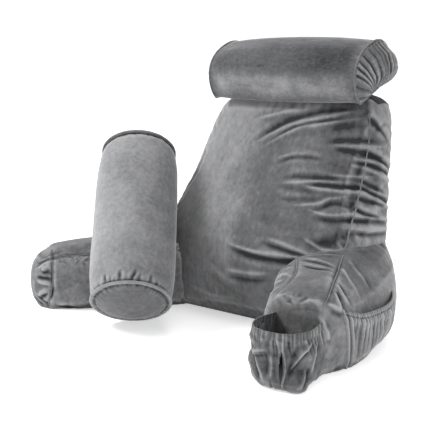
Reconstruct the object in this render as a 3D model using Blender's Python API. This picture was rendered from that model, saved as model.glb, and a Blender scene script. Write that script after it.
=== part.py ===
# A reading pillow: a wedge-shaped back with two splayed arms, a half-moon neck roll strapped on
# top, two gathered pockets on the right arm, and a bolster that leans on the left arm.
# Metres, +Z up. The origin is on the floor, under the middle of the back. The user sits at -Y.

import math
from collections import namedtuple

import bmesh
import bpy
from mathutils import Vector
from mathutils.bvhtree import BVHTree

seamGap = 0.0003         # clear space between pieces that touch
clothThickness = 0.0022  # of the pockets, which are single sheets of plush

# ---------------------------------------------------------------- driving sizes

# Outline of the back at each height: its left and right edge, and its front and rear face.
BackRow = namedtuple("BackRow", "z left right front rear")
backRows = [
    BackRow(0.000, -0.208, 0.206, -0.088, 0.088),
    BackRow(0.090, -0.238, 0.214, -0.092, 0.100),
    BackRow(0.190, -0.242, 0.211, -0.074, 0.104),
    BackRow(0.300, -0.220, 0.207, -0.012, 0.104),
    BackRow(0.390, -0.193, 0.203, 0.024, 0.110),
    BackRow(0.450, -0.164, 0.196, 0.036, 0.114),
    BackRow(0.476, -0.140, 0.184, 0.044, 0.108),
]
backCells = (16, 4, 16)
backCrown = {"front": 0.036, "rear": 0.016, "side": 0.020, "top": 0.018}

# A cross-section of an arm: where its middle lies, its half width at the floor, at its fullest
# and between the seams of its top panel, the height of those two seams, and how far the top
# panel lies out from over the arm's middle.
ArmRow = namedtuple("ArmRow", "x y foot full top inner outer lean")
armRightRows = [
    ArmRow(0.178, 0.078, 0.046, 0.052, 0.030, 0.180, 0.186, 0.000),
    ArmRow(0.184, 0.030, 0.064, 0.079, 0.040, 0.186, 0.202, -0.010),
    ArmRow(0.194, -0.035, 0.080, 0.107, 0.050, 0.172, 0.194, -0.026),
    ArmRow(0.203, -0.100, 0.083, 0.111, 0.052, 0.158, 0.180, -0.034),
    ArmRow(0.211, -0.165, 0.088, 0.098, 0.048, 0.154, 0.165, -0.018),
    ArmRow(0.214, -0.225, 0.083, 0.089, 0.044, 0.149, 0.156, 0.002),
    ArmRow(0.212, -0.280, 0.061, 0.067, 0.040, 0.138, 0.141, 0.014),
]
armLeftRows = [
    ArmRow(-0.182, 0.078, 0.046, 0.052, 0.030, 0.160, 0.160, 0.000),
    ArmRow(-0.206, 0.020, 0.068, 0.078, 0.044, 0.174, 0.174, 0.000),
    ArmRow(-0.256, -0.045, 0.082, 0.094, 0.052, 0.174, 0.168, 0.000),
    ArmRow(-0.306, -0.102, 0.084, 0.096, 0.052, 0.160, 0.156, 0.000),
    ArmRow(-0.357, -0.156, 0.080, 0.090, 0.048, 0.146, 0.146, 0.000),
    ArmRow(-0.410, -0.209, 0.076, 0.083, 0.044, 0.139, 0.141, 0.000),
    ArmRow(-0.455, -0.254, 0.068, 0.072, 0.038, 0.131, 0.133, 0.000),
]
armCells = (6, 16, 7)
armTopCrown = 0.007
armRearCrown = 0.008
armEndCrown = {"right": 0.008, "left": 0.048}
armEndFoot = {"right": 0.0, "left": 0.20}   # how far up its own curve the end's crown starts at the floor

# Neck roll: a half-moon section, its flat side down and tipped towards the front.
rollReach = {"left": -0.175, "right": 0.188}
rollMiddle = {"y": 0.076, "z": 0.4950}   # of the flat side
rollTilt = math.radians(21)
rollHalfWidth = 0.093
rollHeight = 0.106
rollFullest = 0.034                      # how far above its flat side the roll is widest
rollSquareness = 2.3                     # 2 is an ellipse, more is squarer
rollEndNarrowing = 0.13                  # share of its width that each end is drawn in by
rollEndCurve = 2.6                       # 2 arches the whole roll, more keeps its middle straight
rollEndCrown = {"left": 0.032, "right": 0.045}
rollGather = 0.001                       # height of the point that the end's pleats run to
rollPleats = 11
rollPleatDepth = 0.0025
rollCells = {"around": 44, "along": 8, "cap": 4}

# Bolster: where its lower end stands, which way it leans, and how steeply.
bolsterLength = 0.389
bolsterRadius = 0.0925
bolsterSeamRadius = 0.0795
bolsterEndCrown = 0.014
bolsterFoot = {"x": -0.167, "y": -0.299}
bolsterHeading = math.radians(127.4)
bolsterLean = math.radians(45)
bolsterCells = {"around": 40, "along": 8, "cap": 3}

# Corded edges round the ends of the neck roll and of the bolster.
rollPipingRadius = 0.0022
bolsterPipingRadius = 0.0034
pipingSides = 6
pipingFlat = 0.0006      # how much of the lowest cord is pressed flat on the floor

# Straps from under the neck roll, over the top of the back and down behind it.
strapWidth = 0.032
strapThickness = 0.0018
strapMiddle = {"right": 0.181, "left": -0.116}
strapHub = {"y": 0.078, "z": 0.420}      # the strap's path turns round this point
strapTurn = {"front": math.radians(-24), "rear": math.radians(118)}
strapCells = (2, 22, 1)

# End pocket: a gathered pouch round the front end of the right arm.
PouchRow = namedtuple("PouchRow", "z half reach")
pouchRows = [
    PouchRow(0.000, 0.054, 0.054),
    PouchRow(0.015, 0.059, 0.061),
    PouchRow(0.045, 0.061, 0.063),
    PouchRow(0.078, 0.060, 0.061),
    PouchRow(0.104, 0.057, 0.057),
]
pouchMiddle = {"x": 0.232, "y": -0.332}
pouchRear = {"reach": 0.070, "shift": -0.022}   # where it closes inside the arm
pouchSquareness = {"front": 2.3, "rear": 5.0}
# the gathered corner low on its outer side: which way it points, how far it stands out and how high it goes
pouchCorner = {"turn": math.radians(36), "spread": math.radians(24), "out": 0.020, "height": 0.040}
pouchPleats = 26
pouchPleatDepth = 0.0012
pouchCells = {"around": 64, "up": 8}
slitHalfWidth = 0.0042
slitX = 0.255
slitHeight = {"low": 0.012, "high": 0.076}
slitPoints = 8

# Side pocket: a gathered panel on the outside of the right arm.
PocketRow = namedtuple("PocketRow", "y rim bulge")
pocketRows = [
    PocketRow(-0.252, 0.121, 0.000),
    PocketRow(-0.204, 0.105, 0.009),
    PocketRow(-0.150, 0.100, 0.013),
    PocketRow(-0.094, 0.101, 0.012),
    PocketRow(-0.044, 0.110, 0.000),
]
pocketSlant = 0.024      # how far its front seam runs back on its way down
pocketDepth = 0.030      # how far its solid starts inside the arm, before the arm is cut from it
pocketGathers = 14
pocketGatherDepth = 0.0012
pocketCells = (2, 48, 7)
mouthClearance = 0.020   # how far the hollow of a pocket is cut past its rim

# ---------------------------------------------------------------- materials

materials = {
    "plush": {"color": (0.20, 0.20, 0.205, 1.0), "roughness": 0.9},
    "strap": {"color": (0.02, 0.02, 0.022, 1.0), "roughness": 0.7},
}


def makeMaterial(name):
    """Principled material with the colour and roughness of one of the cloths."""
    material = bpy.data.materials.new(name)
    material.use_nodes = True
    shader = material.node_tree.nodes["Principled BSDF"]
    shader.inputs["Base Color"].default_value = materials[name]["color"]
    shader.inputs["Roughness"].default_value = materials[name]["roughness"]
    shader.inputs["Metallic"].default_value = 0.0
    return material


# ---------------------------------------------------------------- tools for cushions

def rowAt(rows, share):
    """The row at a share of the way through a table, on a smooth curve through its rows."""
    place = min(max(share, 0.0), 1.0) * (len(rows) - 1)
    index = min(int(place), len(rows) - 2)
    step = place - index
    second, third = rows[index], rows[index + 1]
    first = rows[index - 1] if index else [2 * a - b for a, b in zip(second, third)]
    last = index + 2 == len(rows)
    fourth = [2 * b - a for a, b in zip(second, third)] if last else rows[index + 2]
    values = []
    for a, b, c, d in zip(first, second, third, fourth):
        bend = (c - a) * step + (2 * a - 5 * b + 4 * c - d) * step**2 + (3 * b - a - 3 * c + d) * step**3
        values.append(b + bend / 2)
    return type(second)(*values)


def swell(share):
    """How far filled cloth stands out between two seams: 0 at the seams, 1 half way."""
    return (1 - (2 * share - 1) ** 2) ** 0.6


def addObject(name, bm, material):
    """Turn a closed mesh into a smooth-shaded object that faces outwards."""
    bmesh.ops.triangulate(bm, faces=bm.faces)
    bmesh.ops.recalc_face_normals(bm, faces=bm.faces)
    mesh = bpy.data.meshes.new(name)
    bm.to_mesh(mesh)
    bm.free()
    mesh.shade_smooth()
    mesh.set_sharp_from_angle(angle=math.radians(40))
    mesh.materials.append(material)
    thing = bpy.data.objects.new(name, mesh)
    bpy.context.scene.collection.objects.link(thing)
    return thing


def boxGrid(cells, place):
    """Closed box of quads. place() gives the point at three shares of the way across it."""
    bm = bmesh.new()
    corners = {}

    def corner(index):
        if index not in corners:
            shares = [step / count for step, count in zip(index, cells)]
            corners[index] = bm.verts.new(place(*shares))
        return corners[index]

    for axis in range(3):
        first, second = (axis + 1) % 3, (axis + 2) % 3
        for side in (0, cells[axis]):
            for a in range(cells[first]):
                for b in range(cells[second]):
                    ring = []
                    for stepA, stepB in ((0, 0), (1, 0), (1, 1), (0, 1)):
                        index = [0, 0, 0]
                        index[axis] = side
                        index[first] = a + stepA
                        index[second] = b + stepB
                        ring.append(corner(tuple(index)))
                    bm.faces.new(ring if side else ring[::-1])
    return bm


def ringStack(rings, tips):
    """Closed mesh through a stack of rings of points, with a point to close each end."""
    bm = bmesh.new()
    rows = [[bm.verts.new(point) for point in ring] for ring in rings]
    count = len(rows[0])
    for lower, upper in zip(rows, rows[1:]):
        for k in range(count):
            bm.faces.new((lower[k], lower[(k + 1) % count], upper[(k + 1) % count], upper[k]))
    for row, tip in ((rows[0], tips[0]), (rows[-1], tips[1])):
        middle = bm.verts.new(tip)
        for k in range(count):
            bm.faces.new((row[k], row[(k + 1) % count], middle))
    return bm


def cordRing(name, path, outward, axis, radius, material):
    """Cord of a small round section along a closed path, given its outward directions."""
    bm = bmesh.new()
    rows = []
    for point, out in zip(path, outward):
        row = []
        for side in range(pipingSides):
            angle = math.tau * side / pipingSides
            row.append(bm.verts.new(point + radius * (math.cos(angle) * out + math.sin(angle) * axis)))
        rows.append(row)
    for index, row in enumerate(rows):
        after = rows[(index + 1) % len(rows)]
        for side in range(pipingSides):
            other = (side + 1) % pipingSides
            bm.faces.new((row[side], row[other], after[other], after[side]))
    return addObject(name, bm, material)


def clearanceOf(thing, gap):
    """Cutter in the shape of a piece, grown by the clear space to leave round it."""
    bm = bmesh.new()
    bm.from_mesh(thing.data)
    bm.normal_update()
    moves = [(vertex, vertex.normal.copy()) for vertex in bm.verts]
    for vertex, normal in moves:
        vertex.co += normal * gap * 1.4
    return asCutter(addObject(thing.name + "_clearance", bm, thing.data.materials[0]))


def asCutter(thing):
    """Keep a guide out of the model: it only cuts other pieces."""
    thing.hide_render = True
    thing.display_type = "WIRE"
    return thing


def cutAway(thing, cutter):
    """Take a cutter's shape out of a piece."""
    cut = thing.modifiers.new(cutter.name, "BOOLEAN")
    cut.operation = "DIFFERENCE"
    cut.object = cutter


def surfaceTree(thing):
    """Tree of a mesh's faces, to measure where a line meets them."""
    return BVHTree.FromPolygons([v.co for v in thing.data.vertices], [p.vertices for p in thing.data.polygons])


# ---------------------------------------------------------------- back

def makeBack(plush):
    """Wedge-shaped back: a crowned front and rear panel, and a gusset round them."""

    def place(across, deep, up):
        row = rowAt(backRows, up)
        x = row.left + (row.right - row.left) * across
        y = row.front + (row.rear - row.front) * deep
        z = row.z
        if deep == 0:
            y -= backCrown["front"] * swell(across) * swell(up)
        if deep == 1:
            y += backCrown["rear"] * swell(across) * swell(up)
        if across in (0, 1):
            x += (2 * across - 1) * backCrown["side"] * swell(deep) * swell(up)
        if up == 1:
            z += backCrown["top"] * swell(across) * swell(deep)
        return Vector((x, y, z))

    return addObject("back_cushion", boxGrid(backCells, place), plush)


# ---------------------------------------------------------------- arms

def makeArm(side, rows, plush):
    """Stuffed arm along its row of sections, flat underneath, with a crowned top and end."""
    outerSide = 1 if side == "right" else -1

    def place(across, along, up):
        row = rowAt(rows, along)
        before, after = rowAt(rows, along - 0.02), rowAt(rows, along + 0.02)
        ahead = Vector((after.x - before.x, after.y - before.y, 0)).normalized()
        outward = Vector((-ahead.y, ahead.x, 0)) * outerSide
        if up < 0.5:
            half = row.foot + (row.full - row.foot) * math.sin(math.pi * up)
        else:
            half = row.full - (row.full - row.top) * (2 * up - 1) ** 3
        point = Vector((row.x, row.y, 0)) + outward * (half * (2 * across - 1) + row.lean * up**2)
        point.z = up * (row.inner + (row.outer - row.inner) * across)
        if up == 1:
            point.z += armTopCrown * swell(across) * swell(along)
        if along == 0:
            point -= ahead * armRearCrown * swell(across) * swell(up)
        if along == 1:
            lifted = armEndFoot[side] + (1 - armEndFoot[side]) * up
            point += ahead * armEndCrown[side] * swell(across) * swell(lifted)
        return point

    return addObject("arm_" + side, boxGrid(armCells, place), plush)


# ---------------------------------------------------------------- neck roll

def rollOutline(turn, x, grow=0.0):
    """How far across and above the flat side's middle the roll's half-moon outline lies."""
    middle = (rollReach["left"] + rollReach["right"]) / 2
    half = (rollReach["right"] - rollReach["left"]) / 2
    narrowing = 1 - rollEndNarrowing * abs((x - middle) / half) ** rollEndCurve
    angle = math.tau * turn
    cosine, sine = math.cos(angle), math.sin(angle)
    power = 2 / rollSquareness
    wide = rollHalfWidth * narrowing + grow
    high = (rollHeight - rollFullest) * narrowing + grow
    across = wide * math.copysign(abs(cosine) ** power, cosine)
    above = rollFullest + high * math.copysign(abs(sine) ** power, sine)
    return across, max(above, -grow)


def rollPoint(turn, x, grow=0.0):
    """Point on the roll's outline, at a share of a turn and a place along the roll."""
    return Vector((x, *rollPlace(*rollOutline(turn, x, grow))))


def rollPlace(across, above):
    """The y and z of a point that lies across and above the middle of the roll's flat side."""
    y = rollMiddle["y"] + across * math.cos(rollTilt) - above * math.sin(rollTilt)
    z = rollMiddle["z"] + across * math.sin(rollTilt) + above * math.cos(rollTilt)
    return y, z


def makeNeckRoll(plush):
    """Half-moon roll whose ends are pleated towards a point low on each end."""
    around = rollCells["around"]

    def capRing(side, inward):
        x = rollReach[side]
        outwards = 1 if side == "right" else -1
        tip = Vector((x, *rollPlace(0, rollGather)))
        ring = []
        for k in range(around):
            pleat = rollPleatDepth * math.cos(math.tau * rollPleats * k / around) * math.sin(math.pi * inward)
            above = rollOutline(k / around, x)[1] * (1 - inward) + rollGather * inward
            flatter = min(above / rollFullest, 1.0) ** 0.5
            crown = rollEndCrown[side] * flatter * (1 - (1 - inward) ** 2) ** 0.5
            point = rollPoint(k / around, x).lerp(tip, inward)
            point.x += outwards * (crown + pleat)
            ring.append(point)
        return ring

    left, right = rollReach["left"], rollReach["right"]
    count = rollCells["cap"]
    steps = [step / rollCells["along"] for step in range(rollCells["along"] + 1)]
    body = [[rollPoint(k / around, left + (right - left) * step) for k in range(around)] for step in steps]
    leftCap = [capRing("left", step / count) for step in range(count - 1, 0, -1)]
    rightCap = [capRing("right", step / count) for step in range(1, count)]
    flatter = (rollGather / rollFullest) ** 0.5
    tips = [
        Vector((left - rollEndCrown["left"] * flatter, *rollPlace(0, rollGather))),
        Vector((right + rollEndCrown["right"] * flatter, *rollPlace(0, rollGather))),
    ]
    return addObject("neck_roll", ringStack(leftCap + body + rightCap, tips), plush)


def makeRollPiping(side, plush):
    """Cord along the seam round one end of the neck roll."""
    around = rollCells["around"]
    x = rollReach[side]
    away = rollPipingRadius + seamGap * 2
    path = [rollPoint(k / around, x, away) for k in range(around)]
    outward = [(path[k] - rollPoint(k / around, x)).normalized() for k in range(around)]
    return cordRing("neck_roll_piping_" + side, path, outward, Vector((1, 0, 0)), rollPipingRadius, plush)


# ---------------------------------------------------------------- straps

def makeStrap(side, backTree, strapMaterial):
    """Flat strap that follows the top and the rear of the back, which is cut from it later."""

    def place(across, along, through):
        angle = strapTurn["front"] + (strapTurn["rear"] - strapTurn["front"]) * along
        ray = Vector((0, math.sin(angle), math.cos(angle)))
        hub = Vector((strapMiddle[side] + (across - 0.5) * strapWidth, strapHub["y"], strapHub["z"]))
        hit, normal, face, distance = backTree.ray_cast(hub, ray)
        return hit + ray * (strapThickness if through else -strapThickness)

    return addObject("strap_" + side, boxGrid(strapCells, place), strapMaterial)


# ---------------------------------------------------------------- bolster

def bolsterFrame():
    """The bolster's lower end's middle, and its directions along, sideways and up."""
    level = Vector((math.cos(bolsterHeading), math.sin(bolsterHeading), 0))
    along = level * math.cos(bolsterLean) + Vector((0, 0, math.sin(bolsterLean)))
    upward = (Vector((0, 0, 1)) - along * along.z).normalized()
    sideways = along.cross(upward)
    cordReach = bolsterSeamRadius + bolsterPipingRadius + seamGap * 2
    height = cordReach * math.cos(bolsterLean) + bolsterPipingRadius - pipingFlat
    return Vector((bolsterFoot["x"], bolsterFoot["y"], height)), along, sideways, upward


def bolsterRing(radius, distance):
    """Ring of points round the bolster's axis, at a distance along it."""
    foot, along, sideways, upward = bolsterFrame()
    around = bolsterCells["around"]
    ring = []
    for k in range(around):
        angle = math.tau * k / around
        out = math.cos(angle) * sideways + math.sin(angle) * upward
        ring.append(foot + along * distance + out * radius)
    return ring


def makeBolster(plush):
    """Round bolster, drawn in at the seams of its two crowned ends."""
    foot, along, sideways, upward = bolsterFrame()
    count = bolsterCells["cap"]
    rings = []
    for step in range(1, count):
        share = step / count
        rings.append(bolsterRing(bolsterSeamRadius * share, -bolsterEndCrown * (1 - share**2)))
    for step in range(bolsterCells["along"] + 1):
        share = (1 - math.cos(math.pi * step / bolsterCells["along"])) / 2
        filled = (1 - (2 * share - 1) ** 4) ** 0.5
        radius = bolsterSeamRadius + (bolsterRadius - bolsterSeamRadius) * filled
        rings.append(bolsterRing(radius, bolsterLength * share))
    for step in range(count - 1, 0, -1):
        share = step / count
        rings.append(bolsterRing(bolsterSeamRadius * share, bolsterLength + bolsterEndCrown * (1 - share**2)))
    tips = foot - along * bolsterEndCrown, foot + along * (bolsterLength + bolsterEndCrown)
    return addObject("bolster", ringStack(rings, tips), plush)


def makeBolsterPiping(end, distance, plush):
    """Cord along the seam of one end of the bolster, flat where it stands on the floor."""
    foot, along, sideways, upward = bolsterFrame()
    path = bolsterRing(bolsterSeamRadius + bolsterPipingRadius + seamGap * 2, distance)
    middle = foot + along * distance
    outward = [(point - middle).normalized() for point in path]
    piping = cordRing("bolster_piping_" + end, path, outward, along, bolsterPipingRadius, plush)
    for vertex in piping.data.vertices:
        vertex.co.z = max(vertex.co.z, 0.0)
    return piping


# ---------------------------------------------------------------- pockets

def pouchSolid(name, inset, low, high, material):
    """Lump in the pouch's form, from one height to another, drawn in by the cloth's thickness."""
    around, up = pouchCells["around"], pouchCells["up"]
    top = pouchRows[-1].z
    rings = []
    for level in range(up + 1):
        z = low + (high - low) * level / up
        row = rowAt(pouchRows, heightShare(z))
        ring = []
        for k in range(around):
            angle = math.tau * k / around
            cosine, sine = math.cos(angle), math.sin(angle)
            pleat = pouchPleatDepth * math.cos(pouchPleats * angle) * min(z / top, 1.0) ** 2
            power = 2 / pouchSquareness["front" if sine > 0 else "rear"]
            nearCorner = math.exp(-(((angle - pouchCorner["turn"]) / pouchCorner["spread"]) ** 2))
            corner = pouchCorner["out"] * nearCorner * max(1 - z / pouchCorner["height"], 0) ** 1.5
            x = (row.half + pleat + corner - inset) * math.copysign(abs(cosine) ** power, cosine)
            if sine > 0:
                y = -(row.reach + pleat + corner - inset) * sine**power
            else:
                y = (pouchRear["reach"] - inset) * abs(sine) ** power
                x += pouchRear["shift"] * (y / pouchRear["reach"]) ** 2
            ring.append(Vector((pouchMiddle["x"] + x, pouchMiddle["y"] + y, z)))
        rings.append(ring)
    tips = [Vector((pouchMiddle["x"], pouchMiddle["y"], z)) for z in (low, high)]
    return addObject(name, ringStack(rings, tips), material)


def heightShare(z):
    """Share of the way through the pouch's table at a height."""
    for index, (below, above) in enumerate(zip(pouchRows, pouchRows[1:])):
        if z <= above.z:
            return (index + (z - below.z) / (above.z - below.z)) / (len(pouchRows) - 1)
    return 1.0


def makeSlitCutter(material):
    """Upright, lens-shaped cutter for the slit in the pouch's front."""
    middle = (slitHeight["low"] + slitHeight["high"]) / 2
    half = (slitHeight["high"] - slitHeight["low"]) / 2
    outline = []
    for step in range(slitPoints):
        up = -1 + 2 * step / slitPoints
        outline.append((slitX + slitHalfWidth * (1 - up**2), middle + half * up))
    for step in range(slitPoints):
        up = 1 - 2 * step / slitPoints
        outline.append((slitX - slitHalfWidth * (1 - up**2), middle + half * up))
    nearY = pouchMiddle["y"] - pouchRows[2].reach * 1.3
    farY = pouchMiddle["y"] - pouchRows[0].reach * 0.75
    rings = [[Vector((x, y, z)) for x, z in outline] for y in (nearY, farY)]
    tips = [Vector((slitX, y, middle)) for y in (nearY, farY)]
    return asCutter(addObject("slit_cutter", ringStack(rings, tips), material))


def makeEndPocket(armClearance, plush):
    """Pouch round the arm's end: a thin wall and floor, open on top, with a slit in front."""
    pocket = pouchSolid("end_pocket", 0.0, 0.0, pouchRows[-1].z, plush)
    high = pouchRows[-1].z + mouthClearance
    hollow = asCutter(pouchSolid("end_pocket_hollow", clothThickness, clothThickness, high, plush))
    for cutter in (hollow, armClearance, makeSlitCutter(plush)):
        cutAway(pocket, cutter)
    return pocket


def pocketSolid(name, armTree, inset, plush):
    """Lump in the side pocket's form, standing out from the arm's outer side."""

    def place(out, along, up):
        row = rowAt(pocketRows, along)
        z = row.rim * up
        if inset:
            z = inset + (row.rim + mouthClearance - inset) * up
        y = row.y + pocketSlant * (1 - min(z / row.rim, 1.0)) * (1 - along)
        hit, normal, face, distance = armTree.ray_cast(Vector((1, y, max(z, 0.0005))), Vector((-1, 0, 0)))
        full = swell(min(0.25 + 0.5 * z / row.rim, 0.72)) - swell(0.25) * (1 - min(z / row.rim * 3, 1.0))
        gather = pocketGatherDepth * math.cos(math.tau * pocketGathers * along) * (z / row.rim) ** 3
        x = hit.x + clothThickness - inset + (row.bulge * full + gather * swell(along)) * out
        return Vector((x - pocketDepth * (1 - out), y, z))

    return addObject(name, boxGrid(pocketCells, place), plush)


def makeSidePocket(arm, armClearance, plush):
    """Gathered panel on the arm's outer side, open on top."""
    tree = surfaceTree(arm)
    pocket = pocketSolid("side_pocket", tree, 0.0, plush)
    hollow = asCutter(pocketSolid("side_pocket_hollow", tree, clothThickness, plush))
    for cutter in (hollow, armClearance):
        cutAway(pocket, cutter)
    return pocket


# ---------------------------------------------------------------- the whole pillow

def main():
    for thing in list(bpy.data.objects):
        bpy.data.objects.remove(thing)
    plush, strapMaterial = makeMaterial("plush"), makeMaterial("strap")

    back = makeBack(plush)
    backClearance = clearanceOf(back, seamGap)

    bolster = makeBolster(plush)
    makeBolsterPiping("lower", 0.0, plush)
    makeBolsterPiping("upper", bolsterLength, plush)

    armRight = makeArm("right", armRightRows, plush)
    armLeft = makeArm("left", armLeftRows, plush)
    armClearance = clearanceOf(armRight, seamGap)
    cutAway(armRight, backClearance)
    cutAway(armLeft, backClearance)
    cutAway(armLeft, clearanceOf(bolster, seamGap))

    neckRoll = makeNeckRoll(plush)
    backTree = surfaceTree(back)
    for side in ("left", "right"):
        makeRollPiping(side, plush)
        strap = makeStrap(side, backTree, strapMaterial)
        cutAway(neckRoll, clearanceOf(strap, seamGap))
        cutAway(strap, backClearance)
    cutAway(neckRoll, backClearance)

    makeEndPocket(armClearance, plush)
    makeSidePocket(armRight, armClearance, plush)


main()
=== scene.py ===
# Looks of the reading pillow: grey plush cushions with folds, seams and gathers round the frame.
import math

import bmesh
import bpy
import numpy as np
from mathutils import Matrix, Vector, kdtree
from mathutils.bvhtree import BVHTree


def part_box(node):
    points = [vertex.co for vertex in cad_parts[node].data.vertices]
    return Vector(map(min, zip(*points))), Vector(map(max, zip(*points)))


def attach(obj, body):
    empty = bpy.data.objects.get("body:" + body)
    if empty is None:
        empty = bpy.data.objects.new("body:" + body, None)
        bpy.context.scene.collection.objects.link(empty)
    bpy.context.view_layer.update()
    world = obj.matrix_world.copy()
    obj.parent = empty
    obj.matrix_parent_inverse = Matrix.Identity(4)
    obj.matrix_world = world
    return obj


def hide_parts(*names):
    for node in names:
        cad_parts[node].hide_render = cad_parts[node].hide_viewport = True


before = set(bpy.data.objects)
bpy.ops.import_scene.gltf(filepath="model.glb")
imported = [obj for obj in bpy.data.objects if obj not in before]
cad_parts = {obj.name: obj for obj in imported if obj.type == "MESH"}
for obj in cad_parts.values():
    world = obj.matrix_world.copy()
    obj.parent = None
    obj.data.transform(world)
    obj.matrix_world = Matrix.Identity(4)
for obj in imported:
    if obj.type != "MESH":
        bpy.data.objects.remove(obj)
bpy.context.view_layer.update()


stageLook = {
    "cameraPlace": (0.975, -1.53, 0.576),
    "cameraTurn": (78.8, 0.0, 36.87),  # degrees
    "lens": 69.9,  # millimetres, as the sensor
    "sensor": 36.0,
    "farthest": 60.0,  # metres that the camera sees
    "floorSize": 30.0,
    "floorPlace": (0, 0, -0.0006),  # just below what rests on it
    "floorColor": (0.95, 0.95, 0.95, 1),
    "floorGlow": 0.46,  # lifts the floor to the white of the wall
    "skyFront": 0.24,  # the room behind the camera
    "skyBack": 1.15,  # the lit wall behind the pillow
    "wallSide": (-0.45, 0.6, 0.66),  # the way to that wall
    "wallEdges": (-0.2, 0.8),  # where its light begins and where it is full
    "lights": [
        # name, place, aim, power in watts, size
        ("key", (-1.7, -1.3, 1.9), (0, -0.05, 0.25), 45.0, 0.8),
        ("fill", (2.3, -0.5, 1.1), (0.1, -0.05, 0.25), 13.0, 1.0),
        ("top", (0.0, 0.4, 2.4), (0, 0, 0.2), 12.0, 1.2),
    ],
}

white = (1, 1, 1, 1)


def setInputs(node, values):
    for name, value in values:
        node.inputs[name].default_value = value


def addNode(tree, kind, values=(), links=(), operation=None):
    node = tree.nodes.new(kind)
    if operation:
        node.operation = operation
    setInputs(node, values)
    for name, source in links:
        tree.links.new(source, node.inputs[name])
    return node


def newMaterial(name):
    material = bpy.data.materials.new(name)
    material.use_nodes = True
    return material, material.node_tree, material.node_tree.nodes["Principled BSDF"]


def makeCamera():
    look = stageLook
    turn = [math.radians(angle) for angle in look["cameraTurn"]]
    bpy.ops.object.camera_add(location=look["cameraPlace"], rotation=turn)
    camera = bpy.context.object
    camera.data.lens = look["lens"]
    camera.data.sensor_width = look["sensor"]
    camera.data.clip_end = look["farthest"]
    bpy.context.scene.camera = camera


def makeFloor():
    look = stageLook
    bpy.ops.object.select_all(action="DESELECT")
    bpy.ops.mesh.primitive_plane_add(size=look["floorSize"], location=look["floorPlace"])
    floor = bpy.context.object
    floor.name = "floor"
    material, _, shader = newMaterial("paleFloor")
    setInputs(shader, [
        ("Base Color", look["floorColor"]), ("Roughness", 0.9), ("Specular IOR Level", 0.1),
        ("Emission Color", white), ("Emission Strength", look["floorGlow"]),
    ])
    floor.data.materials.append(material)


def makeSky():
    # white behind the pillow, softer grey from the room in front of it
    look = stageLook
    world = bpy.data.worlds.new("studio")
    world.use_nodes = True
    tree = world.node_tree
    direction = tree.nodes.new("ShaderNodeTexCoord").outputs["Generated"]
    facing = addNode(tree, "ShaderNodeVectorMath", [(1, look["wallSide"])], [(0, direction)], "DOT_PRODUCT")
    low, high = look["wallEdges"]
    fade = addNode(
        tree, "ShaderNodeMapRange",
        [("From Min", low), ("From Max", high), ("To Min", look["skyFront"]), ("To Max", look["skyBack"])],
        [("Value", facing.outputs["Value"])],
    )
    fade.interpolation_type = "SMOOTHSTEP"
    back = tree.nodes["Background"]
    back.inputs["Color"].default_value = white
    tree.links.new(fade.outputs["Result"], back.inputs["Strength"])
    bpy.context.scene.world = world


def makeLights():
    for name, place, aim, power, size in stageLook["lights"]:
        turn = (Vector(aim) - Vector(place)).to_track_quat("-Z", "Y").to_euler()
        bpy.ops.object.light_add(type="AREA", location=place, rotation=turn)
        light = bpy.context.object
        light.name = name + "Light"
        light.data.energy = power
        light.data.size = size


bpy.context.scene.view_settings.view_transform = "Standard"
makeCamera()
makeFloor()
makeSky()
makeLights()
print("stage ready")


plushLook = {
    # where each tone lies on the ramp, from the painted shade of hollows to the painted highlight of ridges
    "tones": [(0.10, (0.030, 0.031, 0.033, 1)), (0.92, (0.340, 0.342, 0.348, 1)),
              (0.50, (0.134, 0.135, 0.138, 1))],
    # waves to the metre and how much they change the tone: brushed patches, streaks, grain and pile
    "noises": [(6.0, 0.50), (24.0, 0.24), (110.0, 0.42), (900.0, 0.30)],
    "waves": [("Detail", 3.0), ("Roughness", 0.6), ("Distortion", 0.3)],
    "bumps": [(0.3, 0.0012), (0.35, 0.0004)],  # strength and distance of the grain's and the pile's
    "surface": [("Roughness", 0.85), ("Specular IOR Level", 0.15), ("Sheen Weight", 0.60),
                ("Sheen Roughness", 0.35), ("Sheen Tint", (0.9, 0.9, 0.92, 1))],
}
webbingLook = {
    "ribs": [("Scale", 260.0), ("Distortion", 0.4), ("Detail", 1.0)],
    "dark": (0.010, 0.010, 0.011, 1),
    "light": (0.040, 0.040, 0.043, 1),
    "bump": [("Strength", 0.5), ("Distance", 0.0004)],
    "roughness": 0.75,
}


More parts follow.
